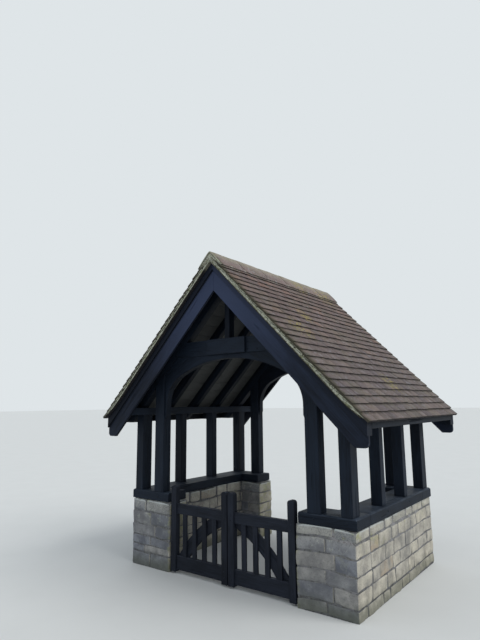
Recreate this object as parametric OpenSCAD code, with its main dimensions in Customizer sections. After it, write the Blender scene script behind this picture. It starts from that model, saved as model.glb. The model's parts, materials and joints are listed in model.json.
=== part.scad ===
// A timber lychgate on two stone plinths: an open roofed gateway with a pair of gates.
// Millimetres. X runs across the passage, Y runs along it from the front, where the gates are,
// to the back, and Z is up. The origin is level with the feet of the plinths, under the middle of
// the roof. The roof is even about it, while the frame under it stands a little nearer the front,
// as the two overhangs of its verges say.

/* [Passage and plinths] */

// Clear width of the passage between the ends of the two stone plinths
passage_w = 1644; // [1400:2:2000]
// Height of the stone plinths
plinth_h = 735; // [500:5:900]
// Thickness of the plinth walls
wall_t = 300; // [220:5:320]
// Half width over the outer faces of the plinths
plinth_out = 1430; // [1400:1:1500]
// How far the stone stands out beyond the faces of the frame
stone_proj = 13; // [8:1:25]

/* [Sills] */

// Height of the timber sills that cap the plinths
sill_h = 100; // [60:5:140]
// How far the sills stand out beyond the faces of the frame
sill_proj = 7; // [3:1:12]
// How far the side sills reach beyond the outer faces of the stone
sill_side_proj = 12; // [5:1:20]
// Distance from the end of the stone to the end of its sill
sill_set_in = 29; // [10:1:45]
// Width of the small chamfer along the outer top edges of the sills
sill_chamfer = 14; // [6:1:25]

/* [Posts] */

// Length of the frame along the passage, over the faces of its posts
frame_l = 2032; // [1800:2:2300]
// Distance from the end of the stone to the passage side of the main posts
main_set = 125; // [85:1:140]
// Width of the main posts across the passage
main_w = 140; // [110:1:160]
// Depth of the main posts along the passage
main_d = 120; // [112:1:150]
// Distance from the outer face of the plinths to the corner posts, studs and wall plates
corner_set = 25; // [5:1:40]
// Width of the corner posts, studs and wall plates
corner_w = 115; // [100:1:120]
// Depth of the corner posts along the passage
corner_d = 140; // [110:1:160]
// Thickness of the studs along the passage
stud_t = 95; // [60:1:120]
// Number of studs on each side, evenly spaced between the corner posts
stud_count = 2; // [1:1:3]

/* [Roof] */

// Pitch of the main slopes in degrees
pitch = 45.5; // [45:0.1:47]
// Height at which the two laying planes of the tiles meet
apex_z = 3340; // [3300:5:3400]
// How far the front verge overhangs the frame
verge_front = 280; // [260:5:400]
// How far the back verge overhangs the frame
verge_back = 368; // [260:1:450]
// How far the eaves reach beyond the outer faces of the plinths
eave_out = 295; // [250:1:300]
// Width of the foot of the slope, where the boarding sweeps up towards the tiles
sweep_run = 280; // [240:5:300]
// Radius of that sweep
sweep_r = 1400; // [1300:10:2000]
// Thickness of tiles and battens over the boarding, above its sweep
tile_t = 70; // [60:1:80]
// Thickness of the mortar bedding under the verge tiles
bedding_t = 30; // [20:1:40]
// Distance from the eaves to the ends of the mortar bedding
bedding_end_set = 85; // [75:5:150]
// Thickness of the roof boarding
board_t = 18; // [12:1:25]
// Thickness of the ridge tiles
ridge_t = 18; // [12:1:30]
// Mortar joint between the ridge tiles and the tiles under them
ridge_bed = 0.3; // [0.3:0.1:5]
// Length of each wing of the ridge tiles, down the slope
ridge_wing = 230; // [150:5:260]

/* [Rafters and trusses] */

// Depth of the common rafters, square to the slope
rafter_d = 100; // [80:1:105]
// Width of the common rafters
rafter_w = 75; // [50:1:100]
// Number of common rafters between the two trusses, on each slope
rafter_count = 3; // [1:1:5]
// Width of the rafters at the verges
verge_rafter_w = 60; // [40:1:80]
// Depth of the principal rafters, square to the slope
principal_d = 120; // [106:1:130]
// Width of the principal rafters
principal_w = 100; // [70:1:110]
// Height of the wall plates
plate_h = 85; // [70:1:110]
// Upright depth of the notches that seat the rafters on the wall plates
rafter_seat = 48; // [30:1:58]
// Depth from the apex of the laying planes to the underside of the collars
collar_drop = 975; // [920:5:1010]
// Depth of the collars
collar_h = 170; // [100:5:200]
// Thickness of the collars
collar_w = 100; // [70:1:110]
// Half length of the middle of the collar that stands proud
collar_proud_x = 262; // [150:2:400]
// How far the middle of the collar stands proud
collar_proud = 30; // [10:1:50]
// Width of the king posts
king_w = 64; // [50:1:120]
// Depth of the king posts
king_d = 90; // [60:1:100]
// Thickness of the arch braces
brace_t = 80; // [50:1:100]
// Depth of the braces where they meet under the middle of the collar
arch_crown_t = 45; // [30:1:75]
// Rise of the arch from its springing to its crown
arch_rise = 500; // [440:5:570]
// Radius of the arch at its haunches
arch_haunch_r = 360; // [320:5:400]
// Thickness of the foot of each brace where the arch springs
brace_leg = 22; // [15:1:40]
// Height over which the foot of each brace tapers out to its post
brace_toe = 60; // [20:5:90]
// Length of the foot of each brace below the springing of the arch
brace_foot = 160; // [100:10:320]
// Thickness of the ridge board
ridge_board_t = 30; // [20:1:40]
// Depth of the ridge board
ridge_board_h = 140; // [100:5:145]

/* [Bargeboards and eaves] */

// Set back of the cover boards from the verge
barge_set = 44; // [40:1:70]
// Thickness of the main bargeboards
barge_t = 32; // [22:1:40]
// Thickness of the cover board along the upper edge of each bargeboard
cover_t = 22; // [15:1:30]
// Upright depth of a bargeboard below the laying plane
barge_drop = 309; // [270:1:340]
// Upright depth of a cover board below the laying plane
cover_drop = 80; // [50:1:120]
// Width of the level foot of the bargeboards
barge_foot_w = 128; // [90:1:160]
// Distance from the eaves to the plumb ends of the bargeboards
barge_end_set = 50; // [25:1:52]
// Radius at the corner of the bargeboard feet
barge_corner_r = 40; // [10:1:60]
// Distance from the eaves to the plumb ends of the rafters
rafter_end_set = 75; // [70:1:115]
// Thickness of the eaves fascias
fascia_t = 22; // [15:1:22]
// Depth of the eaves fascias
fascia_h = 85; // [60:1:100]

/* [Gates] */

// Height of the heads of the gate stiles over the feet of the plinths
gate_h = 924; // [800:1:1000]
// Clearance under the stiles
gate_lift = 20; // [10:1:60]
// Gap between each leaf and the plinth beside it
gate_side_gap = 16; // [13:1:25]
// Gap between the two leaves where they meet
gate_meet_gap = 12; // [12:1:30]
// Set back of the gates from the front face of the frame
gate_set = 2; // [0:1:20]
// Width of the stiles
stile_w = 75; // [60:1:90]
// Thickness of the stiles
stile_t = 65; // [50:1:65]
// Radius at the rounded heads of the stiles
stile_r = 28; // [10:1:29]
// Thickness of the rails
rail_t = 50; // [46:1:50]
// Level of the top of the top rail
top_rail_z = 732; // [680:1:760]
// Depth of the top rail
top_rail_h = 106; // [80:1:130]
// Depth of the bottom rail
low_rail_h = 142; // [100:1:180]
// Level of the underside of the bottom rail
low_rail_z = 43; // [35:1:100]
// Number of pickets in a leaf
picket_count = 4; // [2:1:6]
// Width of the pickets
picket_w = 57; // [40:1:70]
// Thickness of the pickets
picket_t = 22; // [15:1:22]
// Thickness of the curved brace behind the pickets
gate_brace_t = 23; // [15:1:24]
// Width of the curved brace
gate_brace_w = 128; // [80:1:150]
// Distance from the meeting stile to the upper edge of the brace, under the top rail
brace_head = 180; // [120:5:260]
// Distance from the hanging stile to the upper edge of the brace, over the bottom rail
brace_stop = 11; // [0:1:60]
// Radius of the upper edge of the curved brace
gate_brace_r = 1350; // [900:10:2500]

/* [Hinges] */

// Length of the hinge straps from the pin
strap_l = 320; // [200:5:450]
// Height of the hinge straps
strap_h = 40; // [30:1:50]
// Thickness of the hinge straps
strap_t = 6; // [4:1:8]
// Radius of the eye at the end of a strap
eye_r = 13; // [12:0.5:14]
// Radius of the hinge pins
pin_r = 7; // [6:0.1:8]
// Running clearance around the pins, on the radius
pin_fit = 0.06; // [0.02:0.01:0.1]
// Distance from the outer edge of a leaf to its pins
pin_set_in = 16; // [14:1:20]
// Distance from the back of the stiles to the pins
pin_behind = 15; // [14.5:0.5:18]
// Height of the plates that fix the hooks to the stone
hook_plate_h = 90; // [60:1:120]
// Width of the plates that fix the hooks to the stone
hook_plate_w = 34; // [24:1:50]
// Thickness of the plates that fix the hooks to the stone
hook_plate_t = 5; // [3:1:6]

/* [Hidden] */

$fn = 48;
fine = 0.5;
arc_facets = 720;

// the roof is even about the origin, and the frame under it follows its overhangs
verge_y = (verge_front + frame_l + verge_back) / 2;
front_y = verge_front - verge_y;
back_y = verge_y - verge_back;
gate_y = front_y + gate_set;

half_passage = passage_w / 2;
stone_front = front_y - stone_proj;
stone_back = back_y + stone_proj;
sill_top = plinth_h + sill_h;
sill_end_x = half_passage + sill_set_in;
sill_out = plinth_out + sill_side_proj;
wall_in = plinth_out - wall_t;
main_in = half_passage + main_set;
corner_out = plinth_out - corner_set;
corner_in = corner_out - corner_w;
eave_x = plinth_out + eave_out;
barge_end_x = eave_x - barge_end_set;
bedding_end_x = eave_x - bedding_end_set;
rafter_end_x = eave_x - rafter_end_set;

// the laying plane of the tiles falls from the apex along this slope, square to this normal
fall = tan(pitch);
plumb = 1 / cos(pitch);
sweep_x = eave_x - sweep_run;
sweep_z = apex_z - fall * sweep_x;
sweep_cx = sweep_x + sweep_r * sin(pitch);
sweep_cz = sweep_z + sweep_r * cos(pitch);

// the level of the laying plane at the ends of the rafters, and of the feet they are cut to
rafter_end_z = sweep_cz - sqrt(sweep_r * sweep_r - pow(sweep_cx - rafter_end_x, 2));
rafter_foot_z = rafter_end_z - fascia_h;

// undersides of the timbers, as the level at which each line would meet the middle
rafter_line = apex_z - (board_t + rafter_d) * plumb;
principal_line = apex_z - (board_t + principal_d) * plumb;
barge_line = apex_z - barge_drop;
cover_line = apex_z - cover_drop;
barge_heel_x = barge_end_x - barge_foot_w;
barge_foot_z = barge_line - fall * barge_heel_x;
cover_end_z = cover_line - fall * barge_end_x;

// levels of the plates, the collars and the arch, all set out from the roof above them
plate_top = rafter_line - fall * corner_out + rafter_seat;
plate_bottom = plate_top - plate_h;
collar_z = apex_z - collar_drop;
arch_crown_z = collar_z - arch_crown_t;
arch_spring_z = arch_crown_z - arch_rise;
brace_foot_z = arch_spring_z - brace_foot;

truss_front = front_y + main_d / 2;
truss_back = back_y - main_d / 2;
truss_y = [truss_front, truss_back];
barge_front = verge_y - barge_set;
barge_mid = barge_front - cover_t;
barge_back = barge_mid - barge_t;
ridge_board_top = apex_z - board_t * plumb - fall * ridge_board_t / 2;
ridge_board_low = ridge_board_top - ridge_board_h;

arch_half = main_in - brace_leg;
arch_cx = arch_half - arch_haunch_r;
arch_r = (arch_cx * arch_cx + arch_rise * arch_rise - arch_haunch_r * arch_haunch_r)
    / (2 * (arch_rise - arch_haunch_r));

leaf_out = half_passage - gate_side_gap;
leaf_in = gate_meet_gap / 2;
bay_in = leaf_in + stile_w;
bay_out = leaf_out - stile_w;
gate_back = gate_y + stile_t;
rail_front = gate_back - rail_t;
picket_front = gate_back - gate_brace_t - picket_t;
top_rail_low = top_rail_z - top_rail_h;
low_rail_top = low_rail_z + low_rail_h;
pin_x = leaf_out - pin_set_in;
pin_y = gate_back + pin_behind;
strap_z = [low_rail_z + low_rail_h / 2, top_rail_z - top_rail_h / 2];
eye_clear = 0.3;
pin_rise = 12;

far = 4000;
timber = "#2b2f38";
gate_paint = "#343b42";
bare_wood = "#7a7262";
stone = "#a39c8b";
tile = "#7d6d68";
mortar = "#a9ab93";
iron = "#26262a";

// stands a profile drawn in X and Z upright, from y0 to y1
module along(y0, y1) {
    translate([0, y1, 0])
        rotate([90, 0, 0])
            linear_extrude(y1 - y0)
                children();
}

// the piece drawn on the right, and the same piece on the left
module both() {
    children();
    mirror([1, 0, 0]) children();
}

// a block from one corner to the opposite one
module block(a, b) {
    translate(a) cube(b - a);
}

// everything above the laying plane moved out by t, in X and Z, right of the middle
module above(t) {
    shift_x = t * sin(pitch);
    shift_z = t * cos(pitch);
    polygon([[-far, apex_z + t * plumb + fall * far],
        [sweep_x + shift_x, sweep_z + shift_z],
        [sweep_cx, sweep_cz],
        [sweep_cx, 3 * far],
        [-far, 3 * far]]);
    translate([sweep_cx, sweep_cz])
        circle(r = sweep_r - t, $fn = arc_facets);
}

// everything above the plane of the tiles, which stays straight down to the eaves
module above_tiles() {
    level = apex_z + tile_t * plumb;
    polygon([[-far, level + fall * far],
        [far, level - fall * far],
        [far, 3 * far],
        [-far, 3 * far]]);
}

// the part of the roof between two levels over the laying plane, from x0 to x1
module band(low, high, x0, x1) {
    intersection() {
        difference() {
            above(low);
            above(high);
        }
        translate([x0, 0]) square([x1 - x0, far]);
    }
}

// the tile coat over a level above the laying plane, from x0 to x1
module coat(low, x0, x1) {
    intersection() {
        difference() {
            above(low);
            above_tiles();
        }
        translate([x0, 0]) square([x1 - x0, far]);
    }
}

// the profile of a rafter whose underside lies on the given line, notched over the wall plate
// and cut level at its foot
module rafter_profile(line, end_x, foot_z) {
    start_x = ridge_board_t / 2;
    difference() {
        polygon([[start_x, line - fall * start_x],
            [end_x, line - fall * end_x],
            [end_x, apex_z],
            [start_x, apex_z]]);
        above(-board_t);
        translate([corner_in, plate_bottom]) square([corner_w, plate_h]);
        translate([corner_out, 0]) square([far, foot_z]);
    }
}

// where the underside of a principal rafter reaches the given level
function principal_x(z) = (principal_line - z) / fall;

// Stone plinths, each a wall with a short return at both ends

module plinth() {
    color(stone)
        linear_extrude(plinth_h)
            polygon([[half_passage, stone_front],
                [plinth_out, stone_front],
                [plinth_out, stone_back],
                [half_passage, stone_back],
                [half_passage, stone_back - wall_t],
                [wall_in, stone_back - wall_t],
                [wall_in, stone_front + wall_t],
                [half_passage, stone_front + wall_t]]);
}

module plinth_left() { mirror([1, 0, 0]) plinth(); }
module plinth_right() { plinth(); }

// Timber sills with chamfered outer edges

// what a chamfer takes off an edge that runs along Y
module chamfer_along_y(x, z, y0, y1) {
    side = sill_chamfer * sqrt(2);
    translate([x, (y0 + y1) / 2, z])
        rotate([0, 45, 0])
            cube([side, y1 - y0, side], center = true);
}

// what a chamfer takes off an edge that runs along X
module chamfer_along_x(y, z, x0, x1) {
    side = sill_chamfer * sqrt(2);
    translate([(x0 + x1) / 2, y, z])
        rotate([45, 0, 0])
            cube([x1 - x0, side, side], center = true);
}

// one end sill, between its outer face and its inner face
module end_sill(outer_y, inner_y) {
    low_y = min(outer_y, inner_y);
    high_y = max(outer_y, inner_y);
    color(timber)
        difference() {
            block([sill_end_x, low_y, plinth_h], [sill_out, high_y, sill_top]);
            chamfer_along_x(outer_y, sill_top, 0, far);
            chamfer_along_y(sill_out, sill_top, -far, far);
        }
}

module end_sills_front() {
    both() end_sill(front_y - sill_proj, stone_front + wall_t);
}

module end_sills_back() {
    both() end_sill(back_y + sill_proj, stone_back - wall_t);
}

module side_sills() {
    both()
        color(timber)
            difference() {
                block([wall_in, stone_front + wall_t, plinth_h],
                    [sill_out, stone_back - wall_t, sill_top]);
                chamfer_along_y(sill_out, sill_top, -far, far);
            }
}

// Posts, studs and wall plates

// a main post stands on the end sill and its head is cut to the slope of the principal rafter
module main_post(y0) {
    main_out = main_in + main_w;
    both()
        color(timber)
            along(y0, y0 + main_d)
                polygon([[main_in, sill_top],
                    [main_out, sill_top],
                    [main_out, principal_line - fall * main_out],
                    [main_in, principal_line - fall * main_in]]);
}

module main_posts_front() { main_post(front_y); }
module main_posts_back() { main_post(back_y - main_d); }

module corner_post(y0) {
    both()
        color(timber)
            block([corner_in, y0, sill_top], [corner_out, y0 + corner_d, plate_bottom]);
}

module corner_posts_front() { corner_post(front_y); }
module corner_posts_back() { corner_post(back_y - corner_d); }

module side_studs() {
    first_y = front_y + corner_d;
    room = back_y - corner_d - first_y;
    gap = (room - stud_count * stud_t) / (stud_count + 1);
    both()
        color(timber)
            for (i = [0 : stud_count - 1]) {
                y0 = first_y + gap + i * (gap + stud_t);
                block([corner_in, y0, sill_top], [corner_out, y0 + stud_t, plate_bottom]);
            }
}

module wall_plates() {
    both()
        color(timber)
            block([corner_in, -barge_back, plate_bottom], [corner_out, barge_back, plate_top]);
}

// Arch braced trusses with a collar and a king post

module principals(y) {
    both()
        color(timber)
            along(y - principal_w / 2, y + principal_w / 2)
                rafter_profile(principal_line, rafter_end_x, rafter_foot_z);
}

module principals_front() { principals(truss_front); }
module principals_back() { principals(truss_back); }

// a collar fits between the principals, and its middle stands proud of them on the open side
module collar(y, side) {
    collar_top = collar_z + collar_h;
    face = y + side * collar_w / 2;
    color(timber) {
        along(y - collar_w / 2, y + collar_w / 2)
            polygon([[-principal_x(collar_z), collar_z],
                [principal_x(collar_z), collar_z],
                [principal_x(collar_top), collar_top],
                [-principal_x(collar_top), collar_top]]);
        block([-collar_proud_x, min(face, face + side * collar_proud), collar_z],
            [collar_proud_x, max(face, face + side * collar_proud), collar_top]);
    }
}

module collars() {
    collar(truss_front, -1);
    collar(truss_back, 1);
}

// a king post rises from the collar and its head fits between the principals
module king_posts() {
    half = king_w / 2;
    neck = ridge_board_t / 2;
    collar_top = collar_z + collar_h;
    color(timber)
        for (y = truss_y)
            along(y - king_d / 2, y + king_d / 2)
                polygon([[-half, collar_top],
                    [half, collar_top],
                    [half, principal_line - fall * half],
                    [neck, principal_line - fall * neck],
                    [neck, ridge_board_low],
                    [-neck, ridge_board_low],
                    [-neck, principal_line - fall * neck],
                    [-half, principal_line - fall * half]]);
}

// the outline of a brace before the arch is cut from it, from one level to another
module brace_outline(low_z, high_z) {
    intersection() {
        polygon([[0, brace_foot_z],
            [main_in, brace_foot_z],
            [main_in, principal_line - fall * main_in],
            [principal_x(collar_z), collar_z],
            [0, collar_z]]);
        translate([0, low_z]) square([main_in, high_z - low_z]);
    }
}

// the arch has three centres: a flat arc at the crown meets a tight one at the haunch on the
// line through both centres, and the leg runs down from there and tapers out to the post
module arch_brace_profile() {
    crown_cz = arch_crown_z - arch_r;
    reach = [arch_cx, arch_spring_z - crown_cz];
    tip = [0, crown_cz] + reach * far / norm(reach);
    difference() {
        brace_outline(arch_spring_z, collar_z);
        polygon([[0, crown_cz], tip, [far, crown_cz]]);
        translate([0, crown_cz]) circle(r = arch_r, $fn = arc_facets);
    }
    difference() {
        brace_outline(arch_spring_z, collar_z);
        polygon([[0, crown_cz], tip, [0, far]]);
        translate([arch_cx, arch_spring_z]) circle(r = arch_haunch_r, $fn = arc_facets / 4);
    }
    polygon([[main_in, brace_foot_z],
        [main_in, arch_spring_z],
        [arch_half, arch_spring_z],
        [arch_half, brace_foot_z + brace_toe]]);
}

// a brace fills the corner between the post, the principal and the collar down to the arch
module arch_brace(y) {
    color(timber)
        along(y - brace_t / 2, y + brace_t / 2)
            arch_brace_profile();
}

module arch_braces_right() {
    for (y = truss_y) arch_brace(y);
}

module arch_braces_left() { mirror([1, 0, 0]) arch_braces_right(); }

// Common rafters, ridge board and roof boarding

module rafters_right() {
    room = truss_back - truss_front;
    pitch_y = room / (rafter_count + 1);
    color(timber)
        for (i = [1 : rafter_count]) {
            y = truss_front + i * pitch_y;
            along(y - rafter_w / 2, y + rafter_w / 2)
                rafter_profile(rafter_line, rafter_end_x, rafter_foot_z);
        }
}

module rafters_left() { mirror([1, 0, 0]) rafters_right(); }

// the rafters at the verges stand behind the bargeboards and reach nearly to their ends
module verge_rafters() {
    both()
        color(timber)
            for (side = [0, 1])
                mirror([0, side, 0])
                    along(barge_back - verge_rafter_w, barge_back)
                        rafter_profile(rafter_line, rafter_end_x + fascia_t, cover_end_z);
}

module ridge_board() {
    color(timber)
        block([-ridge_board_t / 2, -barge_back, ridge_board_low],
            [ridge_board_t / 2, barge_back, ridge_board_top]);
}

module roof_boards_right() {
    color(bare_wood)
        along(-barge_back, barge_back)
            band(-board_t, 0, 0, rafter_end_x);
}

module roof_boards_left() { mirror([1, 0, 0]) roof_boards_right(); }

// Tiles, ridge and verges

// the tile coat is rebated along each verge for the mortar that beds its edge
module tiles_right() {
    color(tile) {
        along(-barge_back, barge_back) coat(0, 0, eave_x);
        along(-verge_y, verge_y) {
            coat(bedding_t, 0, bedding_end_x);
            coat(0, bedding_end_x, eave_x);
        }
    }
}

module tiles_left() { mirror([1, 0, 0]) tiles_right(); }

module verge_bedding_right() {
    color(mortar)
        for (side = [0, 1])
            mirror([0, side, 0])
                along(barge_back, verge_y)
                    band(0, bedding_t, 0, bedding_end_x);
}

module verge_bedding_left() { mirror([1, 0, 0]) verge_bedding_right(); }

// angled ridge tiles lie on both slopes over the joint
module ridge_tiles() {
    inner_z = apex_z + (tile_t + ridge_bed) * plumb;
    outer_z = inner_z + ridge_t * plumb;
    wing = [ridge_wing * cos(pitch), inner_z - ridge_wing * sin(pitch)];
    lip = wing + [ridge_t * sin(pitch), ridge_t * cos(pitch)];
    color(tile)
        along(-verge_y, verge_y)
            polygon([[0, inner_z], wing, lip, [0, outer_z], [-lip[0], lip[1]], [-wing[0], wing[1]]]);
}

// Bargeboards, each a wide board with a narrow cover board along its upper edge

// the corner that is rounded off the foot of a bargeboard
module barge_corner() {
    translate([barge_end_x - barge_corner_r, barge_foot_z])
        difference() {
            translate([0, -fine]) square([barge_corner_r + fine, barge_corner_r + fine]);
            translate([0, barge_corner_r]) circle(r = barge_corner_r);
        }
}

module bargeboard_pair() {
    color(timber)
        for (side = [0, 1])
            mirror([0, side, 0]) {
                along(barge_back, barge_mid)
                    difference() {
                        polygon([[0, barge_line],
                            [barge_heel_x, barge_foot_z],
                            [barge_end_x, barge_foot_z],
                            [barge_end_x, apex_z],
                            [0, apex_z]]);
                        above(0);
                        barge_corner();
                    }
                along(barge_mid, barge_front)
                    difference() {
                        polygon([[0, cover_line],
                            [barge_end_x, cover_end_z],
                            [barge_end_x, apex_z],
                            [0, apex_z]]);
                        above(0);
                    }
            }
}

module bargeboards_right() { bargeboard_pair(); }
module bargeboards_left() { mirror([1, 0, 0]) bargeboard_pair(); }

// a strip along the eaves closes the ends of the rafters under the tiles
module eaves_fascias() {
    half_length = barge_back - verge_rafter_w;
    both()
        color(timber)
            along(-half_length, half_length)
                difference() {
                    translate([rafter_end_x, rafter_foot_z])
                        square([fascia_t, 2 * fascia_h]);
                    above(0);
                }
}

// Gates: two leaves that meet in the middle, each drawn here as the right one

// an upright board with both top corners rounded
module rounded_board(w, h, r) {
    square([w, h - r]);
    translate([r, 0]) square([w - 2 * r, h]);
    translate([r, h - r]) circle(r = r);
    translate([w - r, h - r]) circle(r = r);
}

module stiles() {
    color(gate_paint)
        for (x = [leaf_in, bay_out])
            translate([x, 0, gate_lift])
                along(gate_y, gate_back)
                    rounded_board(stile_w, gate_h - gate_lift, stile_r);
}

module rails() {
    color(gate_paint) {
        block([bay_in, rail_front, low_rail_z], [bay_out, gate_back, low_rail_top]);
        block([bay_in, rail_front, top_rail_low], [bay_out, gate_back, top_rail_z]);
    }
}

module pickets() {
    gap = (bay_out - bay_in - picket_count * picket_w) / (picket_count + 1);
    color(gate_paint)
        for (i = [0 : picket_count - 1]) {
            x0 = bay_in + gap + i * (gap + picket_w);
            block([x0, picket_front, low_rail_top],
                [x0 + picket_w, picket_front + picket_t, top_rail_low]);
        }
}

// the brace curves from the top rail beside the meeting stile to the foot of the hanging stile
module gate_brace() {
    head = [bay_in + brace_head, top_rail_low];
    foot = [bay_out - brace_stop, low_rail_top];
    chord = foot - head;
    out = [-chord[1], chord[0]] / norm(chord);
    centre = (head + foot) / 2
        - out * sqrt(gate_brace_r * gate_brace_r - chord * chord / 4);
    color(gate_paint)
        along(gate_back - gate_brace_t, gate_back)
            intersection() {
                translate(centre)
                    difference() {
                        circle(r = gate_brace_r, $fn = arc_facets);
                        circle(r = gate_brace_r - gate_brace_w, $fn = arc_facets);
                    }
                translate([bay_in, low_rail_top])
                    square([bay_out - bay_in, top_rail_low - low_rail_top]);
            }
}

module straps() {
    half = strap_h / 2;
    color(iron)
        for (z = strap_z)
            difference() {
                union() {
                    block([pin_x - strap_l + half, gate_back, z - half],
                        [pin_x, gate_back + strap_t, z + half]);
                    translate([pin_x - strap_l + half, gate_back, z])
                        rotate([-90, 0, 0]) cylinder(r = half, h = strap_t);
                    translate([pin_x, pin_y, z - half]) cylinder(r = eye_r, h = strap_h);
                }
                translate([pin_x, pin_y, z - half - fine])
                    cylinder(r = pin_r + pin_fit, h = strap_h + 2 * fine);
            }
}

// each hook is a pin on an arm, fixed to the end of the stone by a plate
module hinge_hooks() {
    color(iron)
        for (z = strap_z) {
            eye_low = z - strap_h / 2;
            arm_z = eye_low - eye_clear - pin_r;
            translate([pin_x, pin_y, arm_z - pin_r])
                cylinder(r = pin_r, h = strap_h + eye_clear + 2 * pin_r + pin_rise);
            translate([pin_x, pin_y, arm_z])
                rotate([0, 90, 0])
                    cylinder(r = pin_r, h = half_passage - pin_x);
            block([half_passage - hook_plate_t, pin_y - hook_plate_w / 2, arm_z - hook_plate_h / 2],
                [half_passage, pin_y + hook_plate_w / 2, arm_z + hook_plate_h / 2]);
        }
}

module gate_right_stiles() { stiles(); }
module gate_right_rails() { rails(); }
module gate_right_pickets() { pickets(); }
module gate_right_brace() { gate_brace(); }
module gate_right_straps() { straps(); }
module gate_left_stiles() { mirror([1, 0, 0]) stiles(); }
module gate_left_rails() { mirror([1, 0, 0]) rails(); }
module gate_left_pickets() { mirror([1, 0, 0]) pickets(); }
module gate_left_brace() { mirror([1, 0, 0]) gate_brace(); }
module gate_left_straps() { mirror([1, 0, 0]) straps(); }
module hinge_hooks_right() { hinge_hooks(); }
module hinge_hooks_left() { mirror([1, 0, 0]) hinge_hooks(); }

plinth_left();
plinth_right();
end_sills_front();
end_sills_back();
side_sills();
main_posts_front();
main_posts_back();
corner_posts_front();
corner_posts_back();
side_studs();
wall_plates();
principals_front();
principals_back();
collars();
king_posts();
arch_braces_left();
arch_braces_right();
rafters_left();
rafters_right();
verge_rafters();
ridge_board();
roof_boards_left();
roof_boards_right();
tiles_left();
tiles_right();
ridge_tiles();
verge_bedding_left();
verge_bedding_right();
bargeboards_left();
bargeboards_right();
eaves_fascias();
gate_left_stiles();
gate_left_rails();
gate_left_pickets();
gate_left_brace();
gate_left_straps();
gate_right_stiles();
gate_right_rails();
gate_right_pickets();
gate_right_brace();
gate_right_straps();
hinge_hooks_left();
hinge_hooks_right();
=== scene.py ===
# %% [markdown]
# A timber lychgate
#
# A lychgate is a small roofed gateway: two low stone plinths, a braced oak frame, a steep roof of
# clay tiles and a pair of gates. Its construction comes from a packed model, which is loaded as a
# fixed frame. This script is about looks: it makes each stone, tile and board on its spot there.

# %% Load the frame
import json

import bmesh
import bpy
import numpy as np
from mathutils import Matrix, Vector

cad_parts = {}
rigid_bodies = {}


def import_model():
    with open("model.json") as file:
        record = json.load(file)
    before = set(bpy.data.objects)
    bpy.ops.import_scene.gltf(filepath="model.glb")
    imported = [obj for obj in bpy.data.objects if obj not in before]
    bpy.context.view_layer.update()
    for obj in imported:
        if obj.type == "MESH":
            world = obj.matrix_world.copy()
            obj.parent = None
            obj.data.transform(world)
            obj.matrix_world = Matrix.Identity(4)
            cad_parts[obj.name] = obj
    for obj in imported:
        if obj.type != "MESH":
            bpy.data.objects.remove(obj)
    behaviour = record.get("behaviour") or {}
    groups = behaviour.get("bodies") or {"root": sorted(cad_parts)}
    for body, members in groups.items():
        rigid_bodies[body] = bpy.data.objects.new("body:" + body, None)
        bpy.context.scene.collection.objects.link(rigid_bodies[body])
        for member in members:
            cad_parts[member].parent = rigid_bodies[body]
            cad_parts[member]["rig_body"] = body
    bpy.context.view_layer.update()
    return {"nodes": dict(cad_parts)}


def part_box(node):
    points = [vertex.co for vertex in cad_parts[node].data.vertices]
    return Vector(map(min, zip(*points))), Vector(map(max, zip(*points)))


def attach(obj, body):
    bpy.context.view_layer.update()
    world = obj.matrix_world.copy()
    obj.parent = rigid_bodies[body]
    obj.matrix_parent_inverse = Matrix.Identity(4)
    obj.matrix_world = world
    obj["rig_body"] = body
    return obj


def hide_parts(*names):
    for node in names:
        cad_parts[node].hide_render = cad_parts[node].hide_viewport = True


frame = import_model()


# %% [markdown]
# The camera
#
# A view can be found by eye, or worked out from lines whose place on the object is known. This one
# was worked out, as an eye point and three turns. A matrix with the camera's own axes as its
# columns says that without a chain of rotations: a camera looks along its minus Z.

# %% Camera
EYE = (3.404, -5.269, 1.834)
YAW, TILT, ROLL = np.radians([37.342, 9.452, -0.531])
FOCAL_PIXELS = 500.52
LONG_SIDE_PIXELS = 640
SENSOR_MM = 36.0


def stand(name, data):
    """Puts a camera, a lamp or a mesh into the scene as an object."""
    thing = bpy.data.objects.new(name, data)
    bpy.context.scene.collection.objects.link(thing)
    return thing


ahead = np.array([-np.sin(YAW) * np.cos(TILT), np.cos(YAW) * np.cos(TILT), np.sin(TILT)])
level = np.array([np.cos(YAW), np.sin(YAW), 0.0])
upward = np.cross(level, ahead)
own_x = level * np.cos(ROLL) + upward * np.sin(ROLL)
own_y = upward * np.cos(ROLL) - level * np.sin(ROLL)
axes = Matrix(np.stack([own_x, own_y, -ahead], axis=1).tolist())
lens = bpy.data.cameras.new("view")
lens.sensor_width = SENSOR_MM
lens.lens = FOCAL_PIXELS * SENSOR_MM / LONG_SIDE_PIXELS
camera = stand("view", lens)
camera.matrix_world = Matrix.LocRotScale(EYE, axes.to_quaternion(), None)
bpy.context.scene.camera = camera
print("camera:", round(lens.lens, 2), "mm lens at", EYE)


# %% [markdown]
# Shaders as sums
#
# A material is a tree of nodes, which is hard to read in a script when every node and link takes a
# line. Three small classes make it read like arithmetic. Number wraps a node's output, so that
# 1 - mask or mask * 0.5 adds the Math node for it. Nodes wraps a tree, and one method adds any
# other node: its settings first, then the values or links of its sockets. Finish is the tree of a
# material, with patterns to draw with. Its colours are laid coat by coat.

# %% Numbers and nodes
def operator(operation, swapped=False):
    """Makes a method of Number that adds a Math node on it and another value."""

    def method(self, other):
        first, second = (other, self) if swapped else (self, other)
        return self.nodes.add("Math", {"operation": operation}, {0: first, 1: second})

    return method


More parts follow.
